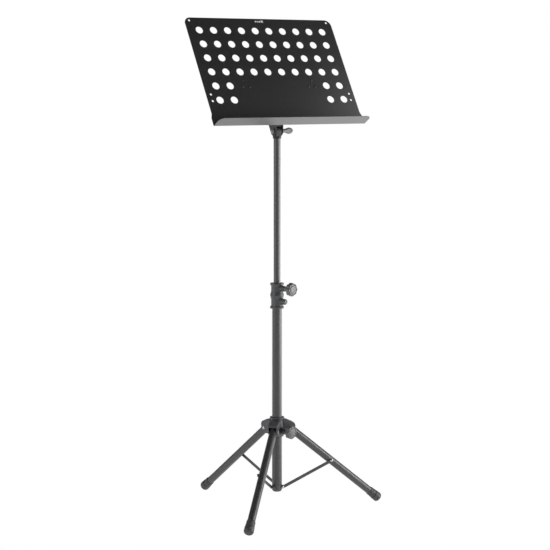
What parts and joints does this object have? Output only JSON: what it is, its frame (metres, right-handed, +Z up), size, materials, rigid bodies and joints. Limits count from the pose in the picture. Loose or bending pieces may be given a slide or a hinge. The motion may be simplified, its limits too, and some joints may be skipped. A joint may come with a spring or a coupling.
{
  "type": "music stand",
  "caption": "Folding music stand: a perforated tilting desk with a tray on a telescopic column, clamped by lobed knobs over a sliding-hub tripod.",
  "frame": {"origin": "on the floor under the middle of the stand's outline", "axes": "+Z up along the column, -Y the way the desk faces, +X to the desk's right"},
  "size_m": [0.5578, 0.5403, 1.4191],
  "materials": {
    "black_powder_coat": "satin black powder coat on steel",
    "charcoal_plastic": "moulded charcoal nylon with a fine texture",
    "black_rubber": "matt black rubber",
    "white_nylon": "natural nylon",
    "zinc_steel": "zinc-plated steel",
    "brass": "turned brass"
  },
  "bodies": {
    "column": {"column_tube": "black_powder_coat", "base_fitting": "charcoal_plastic", "base_rivet_1": "zinc_steel", "base_rivet_2": "zinc_steel", "base_rivet_3": "zinc_steel", "height_collar": "charcoal_plastic", "collar_screw": "zinc_steel", "height_insert_nut": "brass", "height_pressure_pad": "brass"},
    "height_knob": {"height_knob": "charcoal_plastic", "height_knob_stud": "zinc_steel"},
    "guide": {"guide_bush": "charcoal_plastic"},
    "mast": {"upper_tube": "black_powder_coat", "mast_head": "charcoal_plastic", "friction_washer_left": "white_nylon", "friction_washer_right": "white_nylon"},
    "desk": {"desk_panel": "black_powder_coat", "back_plate": "black_powder_coat", "desk_rivet_1": "black_powder_coat", "desk_rivet_2": "black_powder_coat", "desk_rivet_3": "black_powder_coat", "desk_rivet_4": "black_powder_coat", "desk_rivet_5": "black_powder_coat", "desk_rivet_6": "black_powder_coat", "tilt_fork": "black_powder_coat", "tilt_bolt": "zinc_steel", "tilt_steel_washer": "zinc_steel"},
    "tilt_knob": {"tilt_knob": "charcoal_plastic"},
    "hub": {"leg_hub": "charcoal_plastic", "hub_insert_nut": "brass", "hub_pressure_pad": "brass", "leg_pivot_rivet_1": "zinc_steel", "leg_pivot_rivet_2": "zinc_steel", "leg_pivot_rivet_3": "zinc_steel"},
    "hub_knob": {"hub_knob": "charcoal_plastic", "hub_knob_stud": "zinc_steel"},
    "leg_1": {"leg_tube_1": "black_powder_coat", "foot_1": "black_rubber"},
    "strut_1": {"strut_1": "black_powder_coat", "strut_rivet_1": "zinc_steel"},
    "leg_2": {"leg_tube_2": "black_powder_coat", "foot_2": "black_rubber"},
    "strut_2": {"strut_2": "black_powder_coat", "strut_rivet_2": "zinc_steel"},
    "leg_3": {"leg_tube_3": "black_powder_coat", "foot_3": "black_rubber"},
    "strut_3": {"strut_3": "black_powder_coat", "strut_rivet_3": "zinc_steel"}
  },
  "joints": [
    {"name": "height_slide", "type": "slide", "parent": "column", "child": "guide", "axis": [0, 0, 1], "range_m": [-0.4, 0.06]},
    {"name": "mast_swivel", "type": "hinge", "parent": "guide", "child": "mast", "pos_m": [-0.0302, -0.0411, 0.6], "axis": [0, 0, 1], "continuous": true},
    {"name": "desk_tilt", "type": "hinge", "parent": "mast", "child": "desk", "pos_m": [-0.0302, -0.0411, 1.1], "axis": [1, 0, 0], "range_deg": [-58, 31]},
    {"name": "tilt_knob_turn", "type": "hinge", "parent": "desk", "child": "tilt_knob", "pos_m": [-0.0002, -0.0411, 1.1], "axis": [1, 0, 0], "continuous": true},
    {"name": "height_knob_turn", "type": "hinge", "parent": "column", "child": "height_knob", "pos_m": [-0.01642, -0.08916, 0.6489], "axis": [0.2756, -0.9613, 0], "continuous": true},
    {"name": "hub_slide", "type": "slide", "parent": "column", "child": "hub", "axis": [0, 0, 1], "range_m": [0, 0.1488]},
    {"name": "hub_knob_turn", "type": "hinge", "parent": "hub", "child": "hub_knob", "pos_m": [-0.01785, -0.08955, 0.23363], "axis": [0.247, -0.969, 0], "continuous": true},
    {"name": "leg_1_fold", "type": "hinge", "parent": "hub", "child": "leg_1", "pos_m": [0.00927, -0.05219, 0.23563], "axis": [0.2706, 0.9627, 0], "range_deg": [0, 50.26]},
    {"name": "strut_1_fold", "type": "hinge", "parent": "column", "child": "strut_1", "pos_m": [-0.01653, -0.04494, 0.0645], "axis": [0.2706, 0.9627, 0], "range_deg": [-55.34, 0]},
    {"name": "leg_2_fold", "type": "hinge", "parent": "hub", "child": "leg_2", "pos_m": [-0.04033, -0.00137, 0.23563], "axis": [-0.969, -0.247, 0], "range_deg": [0, 50.26]},
    {"name": "strut_2_fold", "type": "hinge", "parent": "column", "child": "strut_2", "pos_m": [-0.03371, -0.02734, 0.0645], "axis": [-0.969, -0.247, 0], "range_deg": [-55.34, 0]},
    {"name": "leg_3_fold", "type": "hinge", "parent": "hub", "child": "leg_3", "pos_m": [-0.05954, -0.06974, 0.23563], "axis": [0.6984, -0.7157, 0], "range_deg": [0, 50.26]},
    {"name": "strut_3_fold", "type": "hinge", "parent": "column", "child": "strut_3", "pos_m": [-0.04036, -0.05102, 0.0645], "axis": [0.6984, -0.7157, 0], "range_deg": [-55.34, 0]}
  ],
  "couplings": [
    {"joint": "leg_1_fold", "follows": "hub_slide", "rad_per_m": 5.894},
    {"joint": "strut_1_fold", "follows": "hub_slide", "rad_per_m": -6.4896},
    {"joint": "leg_2_fold", "follows": "hub_slide", "rad_per_m": 5.894},
    {"joint": "strut_2_fold", "follows": "hub_slide", "rad_per_m": -6.4896},
    {"joint": "leg_3_fold", "follows": "hub_slide", "rad_per_m": 5.894},
    {"joint": "strut_3_fold", "follows": "hub_slide", "rad_per_m": -6.4896}
  ]
}
